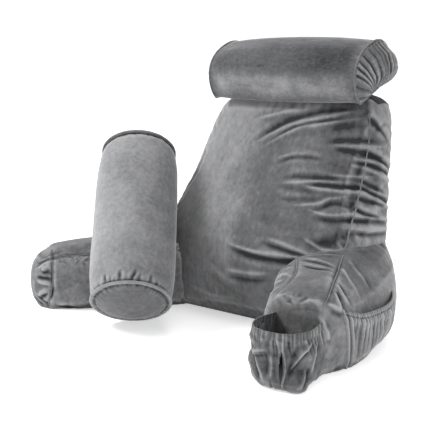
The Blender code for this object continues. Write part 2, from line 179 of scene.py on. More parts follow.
def makePlush(name, stretch=(1, 1, 1), lighter=0.0):
    # the pile's tone comes from random noise for how it is brushed, added to a stored attribute of painted
    # shade in hollows, painted highlight on ridges and painted light and shade across the pieces
    look = plushLook
    material, tree, shader = newMaterial(name)
    place = tree.nodes.new("ShaderNodeTexCoord").outputs["Object"]
    stretched = addNode(tree, "ShaderNodeMapping", [("Scale", stretch)], [("Vector", place)])
    lightShadeAndTone = tree.nodes.new("ShaderNodeAttribute")
    lightShadeAndTone.attribute_name = "lightShadeAndTone"
    tone = lightShadeAndTone.outputs["Fac"]
    heights = []
    for scale, weight in look["noises"]:
        settings = [("Scale", scale), *look["waves"]]
        waves = addNode(tree, "ShaderNodeTexNoise", settings, [("Vector", stretched.outputs["Vector"])])
        heights.append(waves.outputs["Fac"])
        links = [(0, heights[-1]), (2, tone)]
        tone = addNode(tree, "ShaderNodeMath", [(1, weight)], links, "MULTIPLY_ADD").outputs[0]
    middle = sum(weight for _, weight in look["noises"]) / 2
    centred = addNode(tree, "ShaderNodeMath", [(1, 0.5 + lighter - middle)], [(0, tone)], "ADD")
    ramp = addNode(tree, "ShaderNodeValToRGB", links=[("Fac", centred.outputs[0])])
    tones = ramp.color_ramp.elements
    for number, (position, color) in enumerate(look["tones"]):
        stop = tones[number] if number < 2 else tones.new(position)
        stop.position = position
        stop.color = color
    tree.links.new(ramp.outputs["Color"], shader.inputs["Base Color"])
    under = []
    for (strength, distance), height in zip(look["bumps"], heights[2:]):
        settings = [("Strength", strength), ("Distance", distance)]
        bump = addNode(tree, "ShaderNodeBump", settings, [("Height", height), *under])
        under = [("Normal", bump.outputs["Normal"])]
    tree.links.new(bump.outputs["Normal"], shader.inputs["Normal"])
    setInputs(shader, look["surface"])
    return material


def makeWebbing(name):
    look = webbingLook
    material, tree, shader = newMaterial(name)
    place = tree.nodes.new("ShaderNodeTexCoord").outputs["Object"]
    ribs = addNode(tree, "ShaderNodeTexWave", look["ribs"], [("Vector", place)]).outputs["Fac"]
    ramp = addNode(tree, "ShaderNodeValToRGB", links=[("Fac", ribs)])
    ramp.color_ramp.elements[0].color = look["dark"]
    ramp.color_ramp.elements[1].color = look["light"]
    tree.links.new(ramp.outputs["Color"], shader.inputs["Base Color"])
    bump = addNode(tree, "ShaderNodeBump", look["bump"], [("Height", ribs)])
    tree.links.new(bump.outputs["Normal"], shader.inputs["Normal"])
    shader.inputs["Roughness"].default_value = look["roughness"]
    return material


backPlush = makePlush("backPlush", stretch=(1.0, 1.0, 0.62))
armPlush = makePlush("armPlush", lighter=0.03)
rollPlush = makePlush("rollPlush", stretch=(1.0, 1.4, 1.4), lighter=-0.05)
bolsterPlush = makePlush("bolsterPlush", lighter=0.16)
pocketPlush = makePlush("pocketPlush", lighter=-0.04)
webbing = makeWebbing("webbing")
print("materials ready")


joinWithin = 0.00001  # points of a CAD solid this close are one
touchesFloor = 0.0008  # what starts below this height lies on the floor


def pointsOf(piece, measure="co"):
    flat = np.empty(len(piece.data.vertices) * 3)
    piece.data.vertices.foreach_get(measure, flat)
    return flat.reshape(-1, 3)


def normalsOf(piece):
    return pointsOf(piece, "normal")


def movePoints(piece, points):
    piece.data.vertices.foreach_set("co", np.ascontiguousarray(points, dtype=float).ravel())
    piece.data.update()


def useOnly(piece):
    bpy.ops.object.select_all(action="DESELECT")
    bpy.context.view_layer.objects.active = piece
    piece.select_set(True)


def addModifier(piece, kind, **values):
    modifier = piece.modifiers.new(kind.lower(), kind)
    for name, value in values.items():
        setattr(modifier, name, value)
    useOnly(piece)
    bpy.ops.object.modifier_apply(modifier=modifier.name)


def mergedCopy(node, name):
    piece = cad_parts[node].copy()
    piece.data = piece.data.copy()
    piece.name = name
    for key in list(piece.keys()):
        del piece[key]
    piece.parent = None
    bpy.context.scene.collection.objects.link(piece)
    useOnly(piece)
    bpy.ops.object.mode_set(mode="EDIT")
    bpy.ops.mesh.select_all(action="SELECT")
    bpy.ops.mesh.remove_doubles(threshold=joinWithin)
    bpy.ops.object.mode_set(mode="OBJECT")
    return piece


def surfaceOf(piece):
    mesh = piece.data
    return BVHTree.FromPolygons([v.co for v in mesh.vertices], [p.vertices[:] for p in mesh.polygons])


def seamPoints(piece, sharpest, step=0.0008, apartFrom=(), clearOf=0.004):
    # points along the edges where the solid's faces turn sharply: its seams, but for where it meets others
    mesh = piece.data
    normals = [polygon.normal for polygon in mesh.polygons]
    beside = {}
    for polygon in mesh.polygons:
        for key in polygon.edge_keys:
            beside.setdefault(key, []).append(polygon.index)
    others = [surfaceOf(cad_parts[node]) for node in apartFrom]
    points = []
    for (a, b), faces in beside.items():
        if len(faces) != 2 or normals[faces[0]].angle(normals[faces[1]], 0) < math.radians(sharpest):
            continue
        first, second = mesh.vertices[a].co, mesh.vertices[b].co
        if any(other.find_nearest((first + second) / 2, clearOf)[0] for other in others):
            continue
        count = max(int((second - first).length / step), 1)
        points += [first.lerp(second, k / count) for k in range(count + 1)]
    return points


def nearestIn(line, points):
    tree = kdtree.KDTree(len(line))
    for index, point in enumerate(line):
        tree.insert(point, index)
    tree.balance()
    return [tree.find(point) for point in points]


def nearestOn(line, points):
    found = nearestIn(line, points)
    return np.array([place for place, _, _ in found]), np.array([gap for _, _, gap in found])


def puffed(piece, look):
    # the filling pushes the cover out: cloth under pressure, each point kept within its travel
    before = pointsOf(piece)
    cloth = piece.modifiers.new("cloth", "CLOTH")
    settings = cloth.settings
    for name, value in look["cloth"].items():
        setattr(settings, name, value)
    settings.use_pressure = True
    settings.effector_weights.gravity = 0
    cloth.collision_settings.use_collision = False
    cloth.point_cache.frame_end = look["frames"]
    for number in range(1, look["frames"] + 1):
        bpy.context.scene.frame_set(number)
    useOnly(piece)
    bpy.ops.object.modifier_apply(modifier=cloth.name)
    bpy.context.scene.frame_set(1)
    move = pointsOf(piece) - before
    length = np.linalg.norm(move, axis=1)
    keep = np.minimum(1.0, look["travel"] / np.maximum(length, 1e-9))
    movePoints(piece, before + move * keep[:, None])
    moved, kept = 1000 * length.mean(), 1000 * (length * keep).mean()
    print(f"{piece.name}: filling moved the cover {moved:.1f} mm, kept {kept:.1f} mm")


def bell(distance, width):
    return np.exp(-((distance / width) ** 2))


def drawnTo(points, places, gaps, reach, share):
    # the seam's edge is sharp: points close by are pulled onto it
    pulled = share * bell(gaps, reach)
    return points + (places - points) * pulled[:, None], gaps * (1 - pulled)


def grooveBeside(gaps, look):
    depth, off, width = look["groove"]
    return depth * bell(gaps - off, width)


def eased(values, low, high):
    share = np.clip((values - low) / (high - low), 0, 1)
    return share * share * (3 - 2 * share)


noiseOrder = np.random.default_rng(7).permutation(256)
noiseSlopes = np.random.default_rng(8).normal(size=(256, 3))
noiseSlopes /= np.linalg.norm(noiseSlopes, axis=1)[:, None]


def onLine(first, second=0.0, third=0.0):
    # one, two or three measures as points that the noise can read
    return np.stack(np.broadcast_arrays(first, second, third), axis=1)


def noiseAt(points, scale, seed=0.0):
    # smooth random waves between about -1 and 1, scale waves to the metre, for points or one measure
    if points.ndim == 1:
        points = onLine(points)
    spread = points * np.array(scale, float) + np.array([seed, 0.37 * seed, -0.73 * seed]) * 11.3
    cell = np.floor(spread).astype(int)
    inside = spread - cell
    ease = inside**3 * (inside * (inside * 6 - 15) + 10)
    total = np.zeros(len(points))
    for corner in np.ndindex(2, 2, 2):
        x, y, z = (cell + corner).T & 255
        slope = noiseSlopes[noiseOrder[(noiseOrder[(noiseOrder[x] + y) & 255] + z) & 255]]
        weight = np.prod(np.where(corner, ease, 1 - ease), axis=1)
        total += weight * np.einsum("ij,ij->i", slope, inside - corner)
    return total * 1.7


def creases(points, scale, seed=0.0):
    # rounded hills between narrow valleys, as cloth pushed together makes
    return 1.7 * np.abs(noiseAt(points, scale, seed)) ** 0.75 - 0.75


def puckers(places, gaps, sizes, seed):
    # short creases that run out from a seam: fine ones close to it, broad ones further
    field = np.zeros(len(gaps))
    for number, (pitch, reach, depth) in enumerate(sizes):
        uneven = reach * (0.55 + 1.1 * np.abs(noiseAt(places, 0.4 / pitch, seed + 5 + number)))
        waves = creases(places, 0.5 / pitch, seed + number)
        field += depth * waves * bell(gaps, uneven) * eased(gaps, 0, 0.22 * reach)
    return field


def lineField(flat, path, width, soft=False):
    # 1 along the path, fading over the width and towards both ends; sharp at its crest unless soft
    nearest = np.full(len(flat), 1e9)
    along = np.zeros(len(flat))
    steps = np.diff(path, axis=0)
    lengths = np.linalg.norm(steps, axis=1)
    done = 0.0
    for start, step, length in zip(path, steps, lengths):
        share = np.clip((flat - start) @ step / length**2, 0, 1)
        distance = np.linalg.norm(flat - start - share[:, None] * step, axis=1)
        closer = distance < nearest
        nearest[closer] = distance[closer]
        along[closer] = (done + share[closer] * length) / lengths.sum()
        done += length
    thin = width * (0.65 + 0.55 * np.sin(math.pi * along))
    crest = np.sqrt((nearest / thin) ** 2 + 0.06) - 0.245
    profile = bell(nearest, thin) if soft else np.exp(-1.25 * crest)
    return profile * eased(along, 0, 0.35) * eased(1 - along, 0, 0.35)


def foldField(flat, folds, unit=0.001):
    # each fold: height, width, path and, where it has one, the direction in which its hollow lies
    field = np.zeros(len(flat))
    for height, width, path, *hollows in folds:
        height, width = 0.001 * height, 0.001 * width
        path = smoothPath(np.array(path, float) * unit)
        field += height * lineField(flat, path, width, soft=height < 0)
        for hollow in hollows:
            beside = path + 1.9 * width * np.array(hollow, float)
            field -= 0.9 * abs(height) * lineField(flat, beside, 1.2 * width)
    return field


def smoothPath(path, parts=5):
    # rounds the corners of a given path
    ends = np.vstack([2 * path[0] - path[1], path, 2 * path[-1] - path[-2]])
    points = []
    for before, start, end, after in zip(ends, ends[1:], ends[2:], ends[3:]):
        for k in range(parts):
            t = k / parts
            points.append(
                0.5 * (2 * start + (end - before) * t + (2 * before - 5 * start + 4 * end - after) * t**2
                       + (3 * start - before - 3 * end + after) * t**3)
            )
    return np.array(points + [path[-1]])


# stores per point the painted light and shade, with the random tone, that the plush reads
def storeLightShadeAndTone(piece, values):
    attribute = piece.data.attributes.new("lightShadeAndTone", "FLOAT", "POINT")
    attribute.data.foreach_set("value", np.asarray(values, np.float32))


def hollowness(piece, rounds=8):
    # how far each point lies inside (+) or outside (-) the smoothed surface, in metres
    mesh = piece.data
    edges = np.empty(len(mesh.edges) * 2, int)
    mesh.edges.foreach_get("vertices", edges)
    ends = edges.reshape(-1, 2)
    points, normals = pointsOf(piece), normalsOf(piece)
    count = np.maximum(np.bincount(edges, minlength=len(points)), 1)
    smooth = points
    for _ in range(rounds):
        total = [
            np.bincount(ends[:, 0], smooth[ends[:, 1], axis], len(points))
            + np.bincount(ends[:, 1], smooth[ends[:, 0], axis], len(points))
            for axis in range(3)
        ]
        smooth = (np.array(total) / count).T
    return np.einsum("ij,ij->i", smooth - points, normals)


def paintedShadeAndHighlight(piece, gain=230.0, darkest=-0.42, lightest=0.30):
    # painted shade in hollows and painted highlight on ridges, the stronger the sharper they are
    return np.clip(-hollowness(piece) * gain, darkest, lightest)


cordLook = {
    "sides": 6,
    "step": 0.003,
    "raised": 0.3,  # how far its middle lies above the surface, in radii
    "seamWithin": 0.02,  # a listed point this close to a seam is moved onto it
}


def addSeamCord(piece, path, radius, tone, seams=None):
    # raised line of a stitched seam, laid half into the finished surface; its path is in millimetres
    look = cordLook
    sides = look["sides"]
    path = smoothPath(np.array(path, float) * 0.001)
    if seams is not None:
        places, gaps = nearestOn(seams, path)
        path = np.where((gaps < look["seamWithin"])[:, None], places, path)
        for _ in range(16):
            path[1:-1] = (path[:-2] + 2 * path[1:-1] + path[2:]) / 4
    surface = surfaceOf(piece)
    count = max(int(np.linalg.norm(np.diff(path, axis=0), axis=1).sum() / look["step"]), 4)
    share = np.linspace(0, len(path) - 1, count + 1)
    line = np.array([np.interp(share, range(len(path)), path[:, k]) for k in range(3)]).T
    places, outward = [], []
    for point in line:
        place, normal, _, _ = surface.find_nearest(Vector(point))
        places.append(place + normal * radius * look["raised"])
        outward.append(normal)
    for _ in range(5):
        places[1:-1] = [(a + 2 * b + c) / 4 for a, b, c in zip(places, places[1:], places[2:])]
    mesh = bmesh.new()
    mesh.from_mesh(piece.data)
    lightShadeAndTone = mesh.verts.layers.float["lightShadeAndTone"]
    rings = []
    for index, (place, normal) in enumerate(zip(places, outward)):
        ahead = places[min(index + 1, count)] - places[max(index - 1, 0)]
        side = ahead.cross(normal).normalized()
        up = side.cross(ahead).normalized()
        size = radius * min(1.0, 0.25 + index / 3, 0.25 + (count - index) / 3)
        ring = []
        for k in range(sides):
            turn = math.tau * k / sides
            vertex = mesh.verts.new(place + (side * math.cos(turn) + up * math.sin(turn)) * size)
            vertex[lightShadeAndTone] = tone
            ring.append(vertex)
        rings.append(ring)
    for first, second in zip(rings, rings[1:]):
        for k in range(sides):
            ahead = (k + 1) % sides
            mesh.faces.new((first[k], first[ahead], second[ahead], second[k])).smooth = True
    mesh.faces.new(rings[0][::-1])
    mesh.faces.new(rings[-1])
    mesh.to_mesh(piece.data)
    mesh.free()


def finishPiece(piece, material, node):
    piece.data.materials.clear()
    piece.data.materials.append(material)
    piece.data.shade_smooth()
    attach(piece, "root")
    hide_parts(node)
    print("ready:", piece.name, len(piece.data.polygons), "faces")
    return piece


def onFloor(points, before):
    # what lies on the floor stays there
    points[before[:, 2] < touchesFloor, 2] = 0.0
    points[:, 2] = np.maximum(points[:, 2], 0.0)
    return points


def filled(piece, look, seams):
    # the solid as an even mesh, puffed out where it has a cloth, with its seams drawn sharp
    addModifier(piece, "REMESH", mode="VOXEL", voxel_size=look["voxel"])
    addModifier(piece, "SMOOTH", factor=0.5, iterations=look["smoothings"])
    if "cloth" in look:
        puffed(piece, look)
    addModifier(piece, "SUBSURF", levels=1, render_levels=1)
    before = pointsOf(piece)
    places, gaps = nearestOn(seams, before)
    points, gaps = drawnTo(before, places, gaps, look["edge"], look["drawn"])
    movePoints(piece, points)
    return before, points, places, gaps


clothLook = {
    "quality": 4,
    "mass": 0.3,
    "tension_stiffness": 6,
    "compression_stiffness": 6,
    "shear_stiffness": 3,
    "bending_stiffness": 0.1,
    "uniform_pressure_force": 3.0,
    "shrink_min": -0.02,
}
coverLook = {
    "cloth": clothLook,
    "frames": 14,
    "smoothings": 3,
    "drawn": 0.9,  # share by which the cover is drawn to its seams within "edge" of them
    "groove": (0.0014, 0.0045, 0.003),  # the cover dips beside a seam: depth, how far off, width
}


below = (0, -1)
backLook = {
    **coverLook,
    "voxel": 0.0060,
    "travel": 0.003,
    "edge": 0.013,
    "sideFullness": 0.0045,
    "looseness": (0.0003, 0.0013),  # of the level creases: at the left, and what is added at the right
    "puckered": (0.06, 0.80),  # share of the puckers, in the same way
    "gussetFolds": (0.08, 0.92),
    "foldShade": 17.0,  # painted shade in a fold's hollow and painted highlight on its ridge, to the metre of its height
    # pitch, reach and depth of the puckers of each size
    "puckers": [(0.007, 0.012, 0.0009), (0.015, 0.040, 0.0022), (0.032, 0.095, 0.0026)],
    # folds of the front panel in millimetres: height, width, path on x and z, where the hollow lies
    "frontFolds": [
        (5.5, 6, [(-60, 372), (-40, 383), (10, 409), (50, 424), (89, 433), (124, 441), (153, 448),
         (200, 456)]),
        (-6.6, 9, [(-75, 370), (-54, 381), (-27, 399), (8, 418), (43, 434), (77, 445), (110, 452),
         (175, 456)]),
        (4.5, 5.5, [(-40, 360), (-22, 371), (7, 389), (33, 404), (67, 417), (115, 425), (149, 431),
         (210, 440)]),
        (-3.6, 5, [(-20, 378), (-1, 388), (32, 408), (66, 421), (103, 428), (160, 437)]),
        (3.5, 5.5, [(-70, 420), (-54, 427), (-13, 437), (24, 446), (70, 453)]),
        (-2.4, 10, [(110, 418), (140, 420), (162, 423), (200, 418)]),
        (-3.6, 7, [(110, 386), (136, 389), (167, 393), (225, 392)]),
        (4.2, 4.2, [(130, 384), (147, 382), (169, 381), (235, 379)]),
        (-5.8, 6.5, [(135, 380), (151, 375), (175, 372), (198, 365), (240, 352)]),
        (2, 4.5, [(10, 346), (30, 353), (60, 359), (100, 361)]),
        (-3.2, 5, [(10, 336), (32, 345), (56, 353), (81, 355), (140, 352)]),
        (-4.8, 6.5, [(30, 306), (52, 312), (79, 317), (116, 316), (151, 317), (185, 314)]),
        (3.6, 5, [(125, 324), (151, 323), (171, 322), (240, 318)]),
        (3.6, 4.2, [(35, 297), (55, 301), (82, 304), (108, 308), (136, 310), (185, 308)]),
        (-5.6, 5.5, [(85, 304), (107, 303), (143, 303), (177, 301), (240, 298)]),
        (5.8, 4.5, [(85, 300), (107, 296), (134, 294), (157, 293), (179, 292), (240, 288)]),
        (-3.4, 7, [(25, 292), (48, 292), (74, 292), (100, 289), (135, 282)]),
        (-3.2, 6, [(40, 267), (72, 270), (105, 274), (133, 275), (155, 280)]),
        (3.6, 4.5, [(75, 258), (97, 261), (123, 264), (142, 268), (152, 275), (172, 280), (200, 284)]),
        (-4.8, 6.5, [(120, 250), (139, 257), (154, 266), (175, 270), (240, 265)]),
        (4.4, 4.5, [(105, 257), (129, 252), (149, 248), (171, 247), (240, 250)]),
        (-4.2, 7, [(120, 241), (149, 239), (174, 239), (240, 238)]),
        (-2.6, 12, [(0, 230), (60, 222), (120, 214)]),
        (-6.4, 12, [(125, 184), (165, 193), (184, 201), (207, 212), (240, 224)]),
        (6, 5, [(115, 206), (134, 196), (150, 190), (167, 183), (189, 181), (235, 179)]),
        (6, 5.5, [(35, 194), (60, 188), (90, 181), (120, 174), (147, 169), (169, 171), (235, 177)]),
        (-6.2, 7, [(20, 183), (50, 178), (86, 172), (116, 167), (175, 163)]),
        (8.4, 6, [(-70, 178), (-45, 168), (-13, 163), (23, 159), (63, 159), (112, 161), (210, 165)]),
        (-7.2, 8.5, [(-65, 163), (-32, 156), (11, 150), (51, 149), (89, 150), (175, 156)]),
        (4.2, 8.5, [(70, 122), (13, 113), (-65, 111)], below),
        (2.2, 12, [(-120, 132), (-60, 95), (10, 75)], below),
        (2.2, 11, [(-180, 60), (-100, 45), (-10, 50)], below),
    ],
    # folds of the gusset, their paths on y and z
    "sideFolds": [
        (-6, 6, [(20, 455), (37, 431), (46, 421), (57, 405), (75, 378)]),
        (3.5, 5, [(30, 462), (40, 443), (49, 426), (64, 398), (90, 355)]),
        (3, 4.5, [(5, 392), (24, 378), (35, 367), (58, 349), (90, 326)]),
        (-6.5, 5.5, [(-10, 385), (21, 367), (30, 359), (46, 346), (66, 330), (95, 308)]),
        (4, 4, [(-15, 362), (12, 353), (28, 349), (49, 337), (90, 315)]),
        (-7, 5, [(-20, 353), (10, 346), (24, 341), (45, 330), (67, 319), (100, 298)]),
        (4.5, 4.5, [(-25, 350), (5, 338), (22, 329), (68, 307), (100, 290)]),
        (-5, 5, [(-30, 324), (-4, 312), (10, 304), (23, 295), (50, 280)]),
        (-7, 5, [(-40, 307), (-12, 298), (4, 290), (30, 276), (55, 264), (95, 244)]),
        (5, 4.5, [(-45, 303), (-16, 292), (-3, 286), (13, 276), (45, 260), (95, 235)]),
        (-5.5, 5, [(-50, 285), (-22, 279), (-6, 274), (13, 269), (50, 255)]),
        (4.2, 4.2, [(-55, 276), (-29, 265), (-11, 254), (16, 242), (48, 227), (90, 207)]),
        (-7, 6, [(-60, 267), (-36, 261), (-16, 248), (12, 240), (45, 231)]),
        (4.5, 4.2, [(-75, 250), (-44, 246), (-16, 242), (36, 231), (80, 222)]),
        (-5.5, 6, [(-75, 241), (-46, 238), (-18, 234), (12, 230), (55, 222)]),
        (4.5, 5.5, [(-70, 225), (-10, 216), (80, 205)], below),
    ],
    "seamCord": [(213, -85, 185), (212, -50, 245), (208, -12, 300), (205, 16, 360), (203, 26, 400),
                 (196, 36, 448)],
}


def makeBack():
    look = backLook
    piece = mergedCopy("back_cushion", "backCushion")
    seams = seamPoints(piece, 48)
    before, points, places, gaps = filled(piece, look, seams)
    normals = normalsOf(piece)
    x, y, z = points.T
    front = eased(-normals[:, 1], 0.25, 0.6)
    sides = eased(np.abs(normals[:, 0]), 0.45, 0.75)
    rear = eased(normals[:, 1], 0.3, 0.6)
    right = eased(x, 0.0, 0.16)
    away = eased(gaps, 0.002, 0.02)
    folds = front * foldField(points[:, [0, 2]], look["frontFolds"])
    gusset = foldField(points[:, [1, 2]], look["sideFolds"]) * (1 - 0.65 * eased(y, 0.045, 0.080))
    least, more = look["gussetFolds"]
    folds += sides * gusset * (least + more * right)
    field = folds + sides * 0.0012 * creases(points, (3, 9, 26), 5.0)
    field += sides * away * look["sideFullness"]
    # a loose cover: level creases that grow towards the right seam
    loose = creases(points, (3.0, 3.0, 17), 3.0) + 0.5 * creases(points, (7, 7, 34), 7.0)
    least, more = look["looseness"]
    field += front * loose * (least + more * right * eased(z, 0.05, 0.15))
    field += front * 0.0016 * noiseAt(points, (5, 5, 4), 9.0)
    field += rear * 0.0014 * creases(points, (6, 6, 11), 8.0)
    top = eased(z, 0.43, 0.46)
    least, more = look["puckered"]
    field += puckers(places, gaps, look["puckers"], 1.0) * (least + more * right) * (1 - 0.8 * top)
    field -= grooveBeside(gaps, look)
    field *= 0.2 + 0.8 * eased(z, 0.0, 0.012)
    movePoints(piece, onFloor(points + normals * field[:, None], before))
    # painted light on the left third, painted shade to the right and low down, over random pile tone
    lightShadeAndPile = 0.22 * eased(-x, -0.03, 0.12) - 0.15 * eased(x, 0.05, 0.16) - 0.18 * eased(-z, -0.20, -0.03)
    # painted light just under the left half of the roll lifts the shadow that the roll casts there
    lightShadeAndPile += 0.07 * noiseAt(points, (22, 10, 5), 2.0) + 0.30 * eased(z, 0.438, 0.458) * eased(-x, -0.16, 0.0)
    # painted shade in the folds' hollows, painted highlight on their ridges, and painted light on the right
    # gusset
    shade = np.clip(look["foldShade"] * folds, -0.17, 0.08) + 0.14 * sides * right
    storeLightShadeAndTone(piece, front * lightShadeAndPile + paintedShadeAndHighlight(piece) + shade)
    addSeamCord(piece, look["seamCord"], 0.0015, 0.10, seams)
    finishPiece(piece, backPlush, "back_cushion")
    return piece


# the seam round the left arm's rounded end, with a soft hollow along it
armEndSeam = [(-430.3, -276.4, 131.5), (-411.6, -290.3, 116.2), (-403.2, -299.9, 95.9),
              (-401.9, -303.1, 76.1), (-402.1, -303.3, 50), (-407.4, -304.2, 29.4),
              (-414.3, -304.3, 17.6), (-418.4, -303.1, 4.6)]
armLook = {
    **coverLook,
    "voxel": 0.0045,
    "travel": 0.0024,
    "edge": 0.009,
    "puckers": [(0.006, 0.011, 0.0008), (0.012, 0.026, 0.0018), (0.026, 0.055, 0.0020)],
    "endPuckers": [(0.007, 0.014, 0.0014), (0.014, 0.024, 0.0016)],
    "leftCords": [
        [(-448.5, -304.1, 89.6), (-422.4, -298, 108.8), (-410.3, -289.5, 116.3), (-394.3, -271.3, 123.2),
         (-371.7, -255.6, 124.9), (-322.8, -220.1, 126.1), (-270, -170, 130), (-225, -125, 136)],
        armEndSeam[1:],
    ],
    "rightCords": [
        [(122, -112.7, 159.6), (155.9, -173, 157.5), (176.6, -215.5, 153.2), (181.5, -248.9, 145),
         (176, -268, 128)],
        [(218.9, -101.6, 179.4), (230.9, -135.4, 171.1), (253.5, -195, 159.1), (265.8, -230.5, 150.7),
         (273, -256.2, 139.9), (275.8, -273.8, 131.2), (276.6, -283.2, 120.4)],
    ],
    # folds in space, in millimetres: height, width, path, direction of the hollow
    "leftFolds": [
        (5, 4, [(-430, -308, 86), (-418.8, -303.9, 94.3), (-405, -297.5, 103)], (0, 0, -1)),
        (4.6, 4, [(-448, -304, 82), (-430, -302, 98), (-410, -293, 110)], (0, 0, 1)),
        (5.2, 4.2, [(-445, -310, 66), (-425, -308, 63), (-402, -304, 64)], (0, 0, 1)),
        (5.2, 5, [(-442, -309, 28), (-425.9, -307.9, 39.7), (-408, -305, 50)], (0, 0, -1)),
        (3, 3.6, [(-453.8, -307.9, 40), (-436.6, -308.6, 28.2), (-419.4, -305.3, 20),
         (-411.6, -303.2, 11.9)], (0, 0, -1)),
        (-4, 4, [(-460, -304, 26), (-447.3, -305.5, 13.4), (-430.4, -303.9, 4)]),
        (-3.4, 3.6, [(-405, -300, 8), (-383.7, -285, 5), (-356, -262.4, 2)]),
        (-4.2, 8.5, [(-414, -298, 102), (-408, -302, 80), (-409, -304, 56)]),
        (-2.4, 8, [(-400, -299, 60), (-404, -301.2, 43.4), (-410, -303.3, 20)]),
    ],
    "rightFolds": [
        (3.6, 4.2, [(127.7, -122.2, 159.9), (181.2, -118.7, 174.7), (215.9, -103.5, 179.4)], (0, 0.7, 0)),
        (3.4, 4.2, [(136.8, -127.9, 162.4), (185.4, -144.8, 169.6), (237, -155.9, 166.8)], (0, -0.9, 0)),
        (3, 4, [(157.9, -158.2, 162), (202.8, -174.6, 165.3), (242.6, -170.8, 163.7)], (0, -0.9, 0)),
        (4.6, 4.6, [(110, -140, 130), (125.6, -155.1, 146.4), (154, -172, 157)], (0, 0, 1)),
        (5, 5, [(95.9, -143.7, 121.4), (141.4, -189.2, 142.8), (176.2, -219.1, 152)], (0, 0, -1)),
        (4.6, 4.8, [(120, -200, 118), (138.2, -210.2, 131.1), (164, -224, 143.5)], (0, 0, -1)),
        (4, 5, [(130, -230, 105), (150, -240, 120), (178, -250, 140)], (0, 0, -1)),
        (5, 4.4, [(274, -274, 132), (286.7, -257.7, 122.5), (296, -242, 112)], (0, 0, -1)),
        (4, 4.2, [(273, -285, 120), (284.1, -282, 90.1), (286.7, -272.2, 65.2)], (1, 0, -0.5)),
        (4.4, 4.2, [(274, -234, 147), (287.8, -246.5, 126.7), (296, -244, 108)], (0, 1, 0)),
        (4, 4.4, [(264, -210, 156), (286, -224, 133), (298, -220, 112)], (0, 1, 0)),
        (3.4, 5, [(235, -145, 172), (268, -170, 148), (296, -180, 120)], (0, 0.5, -1)),
        (3, 6, [(225, -105, 180), (262, -125, 160), (300, -130, 130)], (0, 0.5, -1)),
    ],
    "plainEnd": -0.262,  # the right arm's end, behind its pocket, has no seam round it
    "outward": 0.0022,
    "lowered": {"left": 0.0055, "right": 0.0},  # how far the top panel sinks
    "grooves": {"left": -1.8, "right": -3.6},  # beside the seams' cords, in millimetres
    "grooveWidth": 4.4,
    "cordRadius": 0.0011,
    "foldShade": 30.0,
}


def makeArm(side):
    look = armLook
    node = "arm_" + side
    piece = mergedCopy(node, "arm" + side.capitalize())
    seams = seamPoints(piece, 48, apartFrom=["back_cushion", "bolster"])
    if side == "right":
        seams = [point for point in seams if point.y > look["plainEnd"]]
    before, points, places, gaps = filled(piece, look, seams)
    normals = normalsOf(piece)
    upward = eased(normals[:, 2], 0.4, 0.8)
    field = look["outward"] * eased(gaps, 0.004, 0.02) * (1 - 0.8 * upward)
    field += 0.0012 * noiseAt(points, 9, 12)
    field -= look["lowered"][side] * upward
    field += 0.0009 * (1 - upward) * creases(points, (12, 12, 18), 11.0)
    field += puckers(places, gaps, look["puckers"], 30.0 if side == "left" else 40.0) * (1 - 0.5 * upward)
    field -= grooveBeside(gaps, look)
    folds = 1.3 * foldField(points, look[side + "Folds"])
    cords = look[side + "Cords"]
    folds += foldField(points, [(look["grooves"][side], look["grooveWidth"], path) for path in cords])
    field += folds
    if side == "left":
        ring = smoothPath(np.array(armEndSeam) * 0.001, 40)
        endPlaces, endGaps = nearestOn(ring, points)
        field += puckers(endPlaces, endGaps, look["endPuckers"], 36.0) * eased(-points[:, 0], 0.400, 0.412)
        field -= 0.0026 * bell(endGaps, 0.0045)
    field *= 0.15 + 0.85 * eased(points[:, 2], 0.0, 0.012)
    movePoints(piece, onFloor(points + normals * field[:, None], before))
    # random tone in patches, with painted shade on the top panel and in the folds' and other hollows, and
    # painted highlight on ridges
    patches = 0.12 * noiseAt(points, 14, 14) + 0.06 * noiseAt(points, 40, 15)
    shade = np.clip(look["foldShade"] * folds, -0.26, 0.14)
    lightShadeAndTone = (-0.08 if side == "left" else -0.15) * upward + patches + shade
    storeLightShadeAndTone(piece, lightShadeAndTone + paintedShadeAndHighlight(piece, 300, lightest=0.34))
    for path in cords:
        addSeamCord(piece, path, look["cordRadius"], 0.08)
    finishPiece(piece, armPlush, node)
    return piece


rollLook = {
    "voxel": 0.0042,
    "smoothings": 2,
    "edge": 0.011,
    "drawn": 1.0,
    "gather": (0.0700, 0.4850),  # y and z of the point that the pleats run to
    "frontCrown": 0.30,  # how much of the end's bulge its front part keeps
    "pleats": 34,
    "pleatDepth": 0.0028,
    "bulgeTurns": (75.0, 150.0),  # degrees from the front between which the end's bulge returns
    "band": (0.500, 0.022),  # height and half width of the painted highlight band
}


def cordPoints(node):
    piece = mergedCopy(node, node + "Line")
    points = pointsOf(piece)
    bpy.data.objects.remove(piece)
    return points


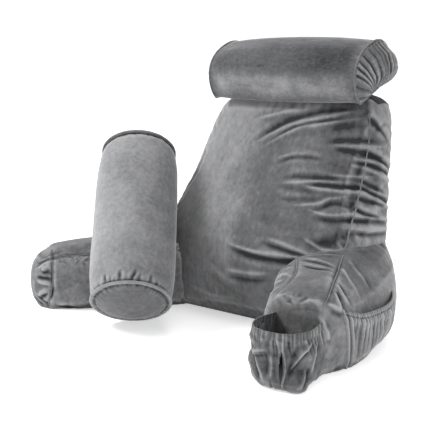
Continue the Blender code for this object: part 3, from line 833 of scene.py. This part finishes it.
def makeRoll():
    look = rollLook
    piece = mergedCopy("neck_roll", "neckRoll")
    cords = [Vector(p) for side in ("left", "right") for p in cordPoints("neck_roll_piping_" + side)]
    low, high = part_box("neck_roll_piping_left")[0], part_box("neck_roll_piping_right")[1]
    _, points, places, gaps = filled(piece, look, cords)
    x, y, z = points.T.copy()
    endward = np.maximum(x - high[0], low[0] - x)
    onEnd = eased(endward, -0.002, 0.004)
    across, upper = y - look["gather"][0], z - look["gather"][1]
    angle, distance = np.arctan2(upper, across), np.hypot(upper, across)
    # the end is flat towards the front and sinks to the gathered point
    flat = 1 - (1 - look["frontCrown"]) * eased(np.abs(angle), *map(math.radians, look["bulgeTurns"]))
    kept = flat * (0.25 + 0.75 * eased(distance, 0.0, 0.045))
    points[:, 0] -= np.sign(x) * np.maximum(endward, 0) * (1 - kept)
    movePoints(piece, points)
    normals = normalsOf(piece)
    turn = angle * look["pleats"] + 1.8 * np.sin(angle * 3 + 0.6) + 1.9 * np.sin(angle * 7 + 1.0)
    pleat = 1.6 * np.abs(np.sin(turn / 2)) ** 0.7 - 1.1
    deep = 0.75 + 0.9 * noiseAt(angle * 0.09, 60, 20.0)
    pleat *= deep * onEnd * eased(distance, 0.001, 0.022)
    field = look["pleatDepth"] * pleat
    body = 1 - eased(endward, -0.03, 0.0)
    swells = 0.0012 * noiseAt(points, (6, 14, 14), 21.0) + 0.0006 * creases(points, (9, 22, 22), 22.0)
    field += body * swells
    field += puckers(places, gaps, [(0.008, 0.012, 0.0010)], 23.0) * (1 - onEnd)
    movePoints(piece, points + normals * field[:, None])
    # painted highlight band along the front, painted shade towards the top, over random pile tone
    height, halfWidth = look["band"]
    uneven = 1 + 0.5 * noiseAt(points, (26, 20, 50), 24.0)
    lightShadeAndPile = 0.22 * bell(z - height, halfWidth) * uneven - 0.22 * eased(z, 0.512, 0.545)
    lightShadeAndPile += 0.06 * noiseAt(points, (5, 9, 9), 25.0)
    # painted shade at the gathered point and in the pleats' valleys, painted highlight on their ridges; the
    # ends a little darker
    shadeAtGather = 0.30 * onEnd * bell(distance, 0.006)
    lightShadeAndTone = lightShadeAndPile * body * eased(-normals[:, 1], -0.3, 0.4) + paintedShadeAndHighlight(piece) + 0.08 * pleat
    storeLightShadeAndTone(piece, lightShadeAndTone - 0.06 * onEnd - shadeAtGather)
    finishPiece(piece, rollPlush, "neck_roll")


bolsterLook = {
    "voxel": 0.0048,
    "smoothings": 2,
    "edge": 0.010,
    "drawn": 1.0,
    "groove": (0.0020, 0.0045, 0.0028),
    "puckers": [(0.0045, 0.009, 0.0012), (0.010, 0.015, 0.0018)],
    # gathers above the lower seam: degrees round from the front, lean, then length, depth and width in mm
    "gathers": [
        (-64, 3, 11, 3.4, 3.4), (-51, 4, 14, 4, 3.6), (-39, 3, 12, 3.4, 3), (-33, -2, 26, 5.6, 3.6),
        (-28, 3, 18, 5, 3.2), (-20, 2, 15, 4.4, 3.6), (-13, 2, 30, 6, 4), (-6, 4, 14, 4.2, 3.4),
        (0, 0, 12, 4, 2.8), (4, 6, 29, 6.4, 4.2), (12, 5, 20, 5, 4.2), (20, -4, 12, 4, 3.6),
        (27, 2, 10, 3.2, 2.8), (33, -1, 24, 5.6, 3.6), (40, 4, 12, 4, 3.4), (47, -5, 14, 3.6, 3.2),
        (58, 0, 10, 3.2, 3), (75, 0, 12, 3, 3.4), (-82, 0, 12, 3, 3.4),
    ],
    "gatherShade": 70.0,
    "discPuckers": 56,
    "discBulge": 0.005,
}


def makeBolster():
    look = bolsterLook
    piece = mergedCopy("bolster", "leaningBolster")
    seams = seamPoints(piece, 40, apartFrom=["arm_left"], clearOf=0.002)
    foot, head = [Vector(cordPoints(f"bolster_piping_{end}").mean(axis=0)) for end in ("lower", "upper")]
    axis = (head - foot).normalized()
    front = Vector((0, 0, 1)).cross(axis).cross(axis).normalized()
    front *= math.copysign(1, front.z)
    before, points, places, gaps = filled(piece, look, seams)
    normals = normalsOf(piece)
    spread = points - np.array(foot)
    along = spread @ np.array(axis)
    turn = np.arctan2(spread @ np.array(axis.cross(front)), spread @ np.array(front))
    radius = np.linalg.norm(spread - along[:, None] * np.array(axis), axis=1)
    side = 1 - np.abs(normals @ np.array(axis))  # 1 on the body, 0 on the end discs
    body = eased(side, 0.4, 0.8)
    field = 0.0012 * noiseAt(points, 7, 31) + 0.0004 * creases(points, 14, 32)
    field += puckers(places, gaps, look["puckers"], 33.0)
    shade = np.zeros(len(points))
    for degrees, lean, *sizes in look["gathers"]:
        length, depth, width = 0.001 * np.array(sizes)
        up = np.clip(along / length, 0, 1)
        wander = 0.9 * noiseAt(along, 70, degrees)
        bent = np.radians(degrees + lean * up + wander)
        across = radius * (np.mod(turn - bent + math.pi, math.tau) - math.pi)
        aboveSeam = along > -0.002
        groove = bell(across, width * (1.25 - 0.6 * up)) * (1 - up) ** 0.8 * aboveSeam
        lips = bell(np.abs(across) - 2.1 * width, width) * (1 - up) * aboveSeam
        field += body * (0.30 * depth * lips - depth * groove)
        # painted shade in each gather's groove, painted highlight on its lips
        shade += body * depth * (0.3 * lips - groove) * look["gatherShade"]
    # the body and the discs are drawn in beside the seam
    field -= grooveBeside(gaps, look)
    wobble = 2.6 * np.sin(turn * 3) + 1.7 * np.sin(turn * 5 + 1)
    ribs = np.abs(np.sin(turn * look["discPuckers"] / 2 + wobble))
    disc = 1 - eased(side, 0.3, 0.6)
    uneven = (0.25 + 0.75 * np.sin(turn) ** 2) * (0.6 + 0.8 * np.abs(noiseAt(points, 30, 35)))
    rim = eased(radius, 0.056, 0.072) * eased(gaps, 0.002, 0.006)
    field += 0.0020 * (ribs - 0.7) * uneven * disc * rim
    field += look["discBulge"] * disc * np.sqrt(np.clip(1 - (radius / radius.max()) ** 2, 0, 1))
    field += 0.0010 * disc * noiseAt(points, 22, 36)
    movePoints(piece, onFloor(points + normals * field[:, None], before))
    # painted light on one side of the body, painted shade on the other and in the hollows; the end discs
    # darker
    sideLightAndShade = 0.07 * eased(-turn * side, -0.4, 1.2) - 0.10 * eased(turn * side, 0.3, 1.4)
    storeLightShadeAndTone(piece, paintedShadeAndHighlight(piece, 200) + np.clip(shade, -0.42, 0.12) + sideLightAndShade - 0.20 * disc)
    finishPiece(piece, bolsterPlush, "bolster")


def makePiping(node, name, material, tone=0.05, smaller=0.0):
    piece = mergedCopy(node, name)
    addModifier(piece, "SUBSURF", levels=2, render_levels=2)
    points, normals = pointsOf(piece), normalsOf(piece)
    field = 0.0003 * noiseAt(points, 120, 41)
    points = points + normals * field[:, None]
    points += (points.mean(axis=0) - points) * smaller
    points[:, 2] = np.maximum(points[:, 2], 0.0)
    movePoints(piece, points)
    storeLightShadeAndTone(piece, np.full(len(points), tone))
    finishPiece(piece, material, node)


pouchLook = {
    # height, half width and reach to the front
    "rows": [(0.000, 0.054, 0.054), (0.015, 0.059, 0.061), (0.045, 0.061, 0.063), (0.078, 0.060, 0.061),
             (0.104, 0.057, 0.057)],
    "middle": (0.232, -0.332),
    "wrap": 38.0,  # degrees that it goes on behind its widest place
    "radius": 0.062,  # turns degrees round it into metres along the cloth
    "flapEnd": 0.095,  # far enough back that no floor shows between the flap and the arm
    "underRound": (0.008, 0.014),  # how far its lower edge is drawn in, and up to what height
    "inside": (0.02, 0.05),  # a point inside it: how far behind the middle, and how high
    "back": 0.052,  # how far its sides run back into the arm
    "squareness": 2.3,
    "corner": (36.0, 24.0, 0.020, 0.040),  # degrees, spread, how far it stands out, how high it goes
    "columns": 232,
    "rowsUp": 84,
    "rowsUnder": 10,
    "slitAngle": 66.0,  # degrees round from the right
    "slitHeight": (0.012, 0.076),
    "slitHalf": 0.0042,
    "band": 0.011,  # height of the elastic band at the rim
    # folds: height and width in millimetres, path on degrees round from the right and millimetres up
    "folds": [
        (5, 4.5, [(-4, 90), (31, 66), (54, 32)], (0.3, -1)),
        (-4, 6, [(30, 90), (46, 60), (58, 20)]),
        (4, 5.5, [(-8, 82), (4, 54), (12, 18)], (-1, 0)),
        (4, 5, [(22, 45), (28, 22), (44, 4)], (-1, 0.2)),
        (4, 5, [(176, 80), (140, 83), (104, 78)], (0, -1)),
        (-5.5, 6, [(190, 56), (146, 60), (108, 68)]),
        (4.5, 5, [(150, 70), (120, 64), (84, 74)], (0, -1)),
        (4.5, 5.5, [(172, 42), (136, 32), (112, 6)], (0.5, -0.8)),
        (4, 5, [(146, 52), (122, 34), (104, 8)], (0.8, -0.5)),
        (3.6, 4.5, [(112, 58), (100, 36), (92, 10)], (1, 0)),
        (3, 4.5, [(86, 74), (80, 50), (84, 16)], (1, 0.2)),
    ],
}


def makePouch():
    look = pouchLook
    columns, up, under = look["columns"], look["rowsUp"], look["rowsUnder"]
    rows = np.array(look["rows"])
    top = rows[-1, 0]
    degrees = np.linspace(-look["wrap"], 180 + look["wrap"], columns)
    slitColumn = int(np.searchsorted(degrees, look["slitAngle"]))
    degrees[slitColumn - 1:slitColumn + 1] = look["slitAngle"]
    levels = np.concatenate([np.linspace(-1, -0.08, under), np.linspace(0, 1, up)])
    angle, level = np.meshgrid(np.radians(degrees), levels)
    height = np.maximum(level, 0) * top
    turn, spread, out, high = look["corner"]
    corner = out * bell(np.degrees(angle) - turn, spread) * np.maximum(1 - height / high, 0) ** 1.5
    half = np.interp(height, rows[:, 0], rows[:, 1]) + corner
    reach = np.interp(height, rows[:, 0], rows[:, 2]) + corner
    cosine, sine = np.cos(angle), np.maximum(np.sin(angle), 0)
    power = 2 / look["squareness"]
    behind = np.clip(-np.sin(angle) / math.sin(math.radians(look["wrap"])), 0, 1)
    side = np.where(np.sin(angle) < 0, 1 - 0.14 * behind, np.abs(cosine) ** power)
    x = half * np.sign(cosine) * side
    y = -reach * sine**power + look["back"] * behind
    # under the pouch the cloth is rounded off and drawn in towards the arm
    drawn, upTo = look["underRound"]
    rounding = drawn * (1 - np.clip(height / upTo, 0, 1)) ** 2 * (1 - behind)
    inward = 1 - rounding / np.hypot(x, y - look["inside"][0])
    shrink = np.where(level < 0, 1 + level * 0.9, 1.0)
    x, y = x * inward * shrink, look["flapEnd"] + (y * inward - look["flapEnd"]) * shrink
    middle = np.array(look["middle"])
    lattice = np.stack([middle[0] + x, middle[1] + y, height], axis=-1)
    points = lattice.reshape(-1, 3)
    outward = np.cross(np.gradient(lattice, axis=1), np.gradient(lattice, axis=0)).reshape(-1, 3)
    outward /= np.maximum(np.linalg.norm(outward, axis=1), 1e-12)[:, None]
    heart = np.array([middle[0], middle[1] + look["inside"][0], look["inside"][1]])
    outward *= np.sign(np.sum(np.einsum("ij,ij->i", outward, points - heart)))
    turned, z, wall = np.degrees(angle).ravel(), height.ravel(), level.ravel()
    toMetres = math.radians(1) * look["radius"]
    roundIt, down = turned * toMetres, top - z
    field = foldField(np.stack([roundIt, z], axis=1), look["folds"], (toMetres, 0.001))
    field *= eased(z, 0.0, 0.012) * eased(down, 0.008, 0.03)
    # ruffles of the band, gathers below it, and its own fullness and groove
    field += 0.0011 * creases(roundIt, 150, 51.0) * eased(z, top - 0.03, top - look["band"])
    slanted = roundIt + 0.25 * down
    gathers = eased(z, top - 0.055, top - 0.020) * eased(down, 0.010, 0.016)
    field += 0.0024 * creases(slanted, 80, 52.0) * gathers
    field += 0.0022 * bell(down - 0.024, 0.012)
    field -= 0.0016 * bell(down - look["band"], 0.0022)
    foot = (1 - eased(z, 0.0, 0.030)) * eased(wall, -0.4, 0.0)
    field += 0.0028 * creases(roundIt, 62, 53.0) * foot
    field += 0.0012 * creases(onLine(roundIt, z), (34, 24, 1), 54.0) * eased(z, 0.0, 0.012)
    rowsOfField = field.reshape(len(levels), columns)
    field = (rowsOfField - rowsOfField.mean(axis=1, keepdims=True)).ravel()
    # welt beside the slit, from the rim to the floor
    beside = (turned - look["slitAngle"] + 4.5 - 3.0 * np.abs(z - 0.05) / 0.05) * toMetres
    field += 0.0015 * bell(beside, 0.0015)
    moved = points + outward * (field * (wall > -0.3))[:, None]
    # the slit stands open, its edges turned out a little
    low, high = look["slitHeight"]
    lens = np.clip(1 - ((z - (low + high) / 2) / ((high - low) / 2)) ** 2, 0, 1) * (wall > 0)
    away = np.abs(turned - look["slitAngle"]) * toMetres
    column = np.tile(np.arange(columns), len(levels))
    apart = np.where(column < slitColumn, -1.0, 1.0) * look["slitHalf"] * lens * bell(away, 0.012)
    along = onLine(-np.sin(np.radians(turned)), -np.cos(np.radians(turned)))
    moved += along * apart[:, None] + outward * (0.0022 * lens * bell(away, 0.005))[:, None]
    moved[:, 2] = np.maximum(moved[:, 2], 0.0) + np.where(wall <= 0, 0.0004, 0)
    # painted shade in the folds' hollows, painted highlight on their ridges, and random tone
    shade = np.clip(field * 32, -0.20, 0.12) + 0.16 * noiseAt(moved, (28, 28, 22), 55.0)
    faces = gridFaces(len(levels), columns, slitColumn - 1)
    return sheetPiece("endPocket", moved, faces, -0.10, shade=shade)


def gridFaces(rows, columns, gap=None):
    # faces of a grid of points, but for a column that stays open
    cells = [row * columns + k for row in range(rows - 1) for k in range(columns - 1) if k != gap]
    return [(cell, cell + 1, cell + columns + 1, cell + columns) for cell in cells]


def sheetPiece(name, points, faces, tone, thickness=0.0021, shade=None):
    mesh = bpy.data.meshes.new(name)
    mesh.from_pydata([tuple(p) for p in points], [], faces)
    piece = bpy.data.objects.new(name, mesh)
    bpy.context.scene.collection.objects.link(piece)
    useOnly(piece)
    bpy.ops.object.mode_set(mode="EDIT")
    bpy.ops.mesh.select_all(action="SELECT")
    bpy.ops.mesh.remove_doubles(threshold=2 * joinWithin)
    bpy.ops.mesh.normals_make_consistent(inside=False)
    bpy.ops.object.mode_set(mode="OBJECT")
    middle = pointsOf(piece).mean(axis=0)
    if np.sum(np.einsum("ij,ij->i", normalsOf(piece), pointsOf(piece) - middle)) < 0:
        piece.data.flip_normals()
    # painted shade in hollows and painted highlight on ridges, over the piece's own tone
    values = paintedShadeAndHighlight(piece, 400) + tone
    if shade is not None:
        # points that were merged take the shade of the nearest one
        values += shade[[index for _, index, _ in nearestIn(points, pointsOf(piece))]]
    storeLightShadeAndTone(piece, values)
    area = sum(polygon.area for polygon in piece.data.polygons)
    print(name, "one side of the cloth", round(area, 5), "m2")
    addModifier(piece, "SOLIDIFY", thickness=thickness, offset=-1.0)
    return piece


sidePocketLook = {
    # from front to rear: y, height of the rim, how far it stands out
    "rows": [(-0.252, 0.121, 0.000), (-0.204, 0.105, 0.009), (-0.150, 0.100, 0.013), (-0.094, 0.101, 0.012),
             (-0.044, 0.110, 0.000)],
    "slant": 0.024,  # how far its front edge leans
    "length": 0.225,
    "thickness": 0.0020,
    "offArm": 0.0022,  # how far it stands off the arm, and how much less at its ends
    "endSink": 0.0030,
    "frontSeam": 0.006,  # how far in from its front edge the seam lies
    "columns": 200,
    "rowsUp": 84,
    "band": 0.009,
}


def makeSidePocket(arm):
    look = sidePocketLook
    surface = surfaceOf(arm)
    columns, up = look["columns"], look["rowsUp"]
    rows = np.array(look["rows"])
    table = smoothPath(rows, 12)
    shares = np.linspace(0, 1, columns)
    y, rim, bulge = [np.interp(shares, np.linspace(0, 1, len(table)), table[:, k]) for k in range(3)]
    points = []
    for upward in np.linspace(0, 1, up):
        for c, along in enumerate(shares):
            z = rim[c] * upward
            place = y[c] + look["slant"] * (1 - upward) * (1 - along)
            hit = surface.ray_cast(Vector((1, place, max(z, 0.002))), Vector((-1, 0, 0)))[0]
            inside = 1 - min(along * 12, (1 - along) * 12, 1)
            lift = bulge[c] * (1 - (1 - upward) ** 2.2)
            points.append((hit.x + look["offArm"] - look["endSink"] * inside + lift, place, z))
    points = np.array(points)
    rise, share = np.repeat(np.linspace(0, 1, up), columns), np.tile(shares, up)
    down = (1 - rise) * np.tile(rim, up)
    along = share * look["length"]
    wander = onLine(along + 0.012 * (1 - rise) * np.sin(share * 7), rise * 0.2)
    field = 0.0016 * creases(along, 170, 61.0) * eased(0.026 - down, 0, 0.012)
    belowBand = eased(down, 0.007, 0.014)
    field += 0.0040 * creases(wander, (78, 2, 1), 62.0) * belowBand * eased(rise, 0.10, 0.75)
    field += 0.0030 * creases(wander, (36, 2, 1), 63.0) * eased(down, 0.010, 0.03) * eased(rise, 0.04, 0.4)
    field += 0.0030 * bell(down - 0.018, 0.010)
    field -= 0.0014 * bell(down - look["band"], 0.0020)
    field *= eased(share, 0.0, 0.04) * eased(1 - share, 0.0, 0.04)
    # the seam at its front stands up, with a hollow behind it
    fromSeam = along - look["frontSeam"]
    field += 0.0026 * bell(fromSeam, 0.0028) - 0.0022 * bell(fromSeam - 0.008, 0.004)
    points[:, 0] += field
    # painted shade in the folds' hollows, painted highlight on their ridges, and random tone
    shade = np.clip(field * 26, -0.16, 0.10) + 0.10 * noiseAt(points, (20, 24, 16), 64.0)
    return sheetPiece("sidePocket", points, gridFaces(up, columns), 0.04, look["thickness"], shade)


strapLook = {
    "width": 0.038,
    "thickness": 0.0018,
    "middle": {"right": 0.191, "left": -0.116},
    "hub": (0.078, 0.420),  # y and z of the point that the strap's path turns round
    "turn": (-24.0, 118.0),  # degrees back from straight up, from its front end to its rear
    "cells": (8, 70),
}


def makeStrap(side, back):
    look = strapLook
    surface = surfaceOf(back)
    across, along = look["cells"]
    lattice = np.empty((along + 1, across + 1, 3))
    start, end = look["turn"]
    half = across // 2
    for k in range(along + 1):
        angle = math.radians(start + (end - start) * k / along)
        ray = Vector((0, math.sin(angle), math.cos(angle)))
        place, normal, _, _ = surface.ray_cast(Vector((look["middle"][side], *look["hub"])), ray)
        for way in (1, -1):
            # from its middle line the strap follows the cushion to both sides
            spot, up = place, normal
            lattice[k, half] = spot + up * look["thickness"]
            for c in range(1, half + 1):
                step = (Vector((way, 0, 0)) - up * up.x * way).normalized() * look["width"] / across
                spot, up, _, _ = surface.find_nearest(spot + step)
                lattice[k, half + way * c] = spot + up * look["thickness"]
    for _ in range(6):
        lattice[1:-1] = (lattice[:-2] + 2 * lattice[1:-1] + lattice[2:]) / 4
    faces = gridFaces(along + 1, across + 1)
    piece = sheetPiece("strap" + side.capitalize(), lattice.reshape(-1, 3), faces, 0.0, look["thickness"])
    finishPiece(piece, webbing, "strap_" + side)


back = makeBack()
makeArm("left")
armRight = makeArm("right")
makeRoll()
makeBolster()
makePiping("neck_roll_piping_left", "rollPipingLeft", rollPlush, 0.05, 0.02)
makePiping("neck_roll_piping_right", "rollPipingRight", rollPlush, 0.08, 0.01)
makePiping("bolster_piping_lower", "bolsterPipingLower", bolsterPlush, 0.12)
makePiping("bolster_piping_upper", "bolsterPipingUpper", bolsterPlush, -0.12)
pouch = finishPiece(makePouch(), pocketPlush, "end_pocket")
sidePocket = finishPiece(makeSidePocket(armRight), armPlush, "side_pocket")
for side in ("left", "right"):
    makeStrap(side, back)
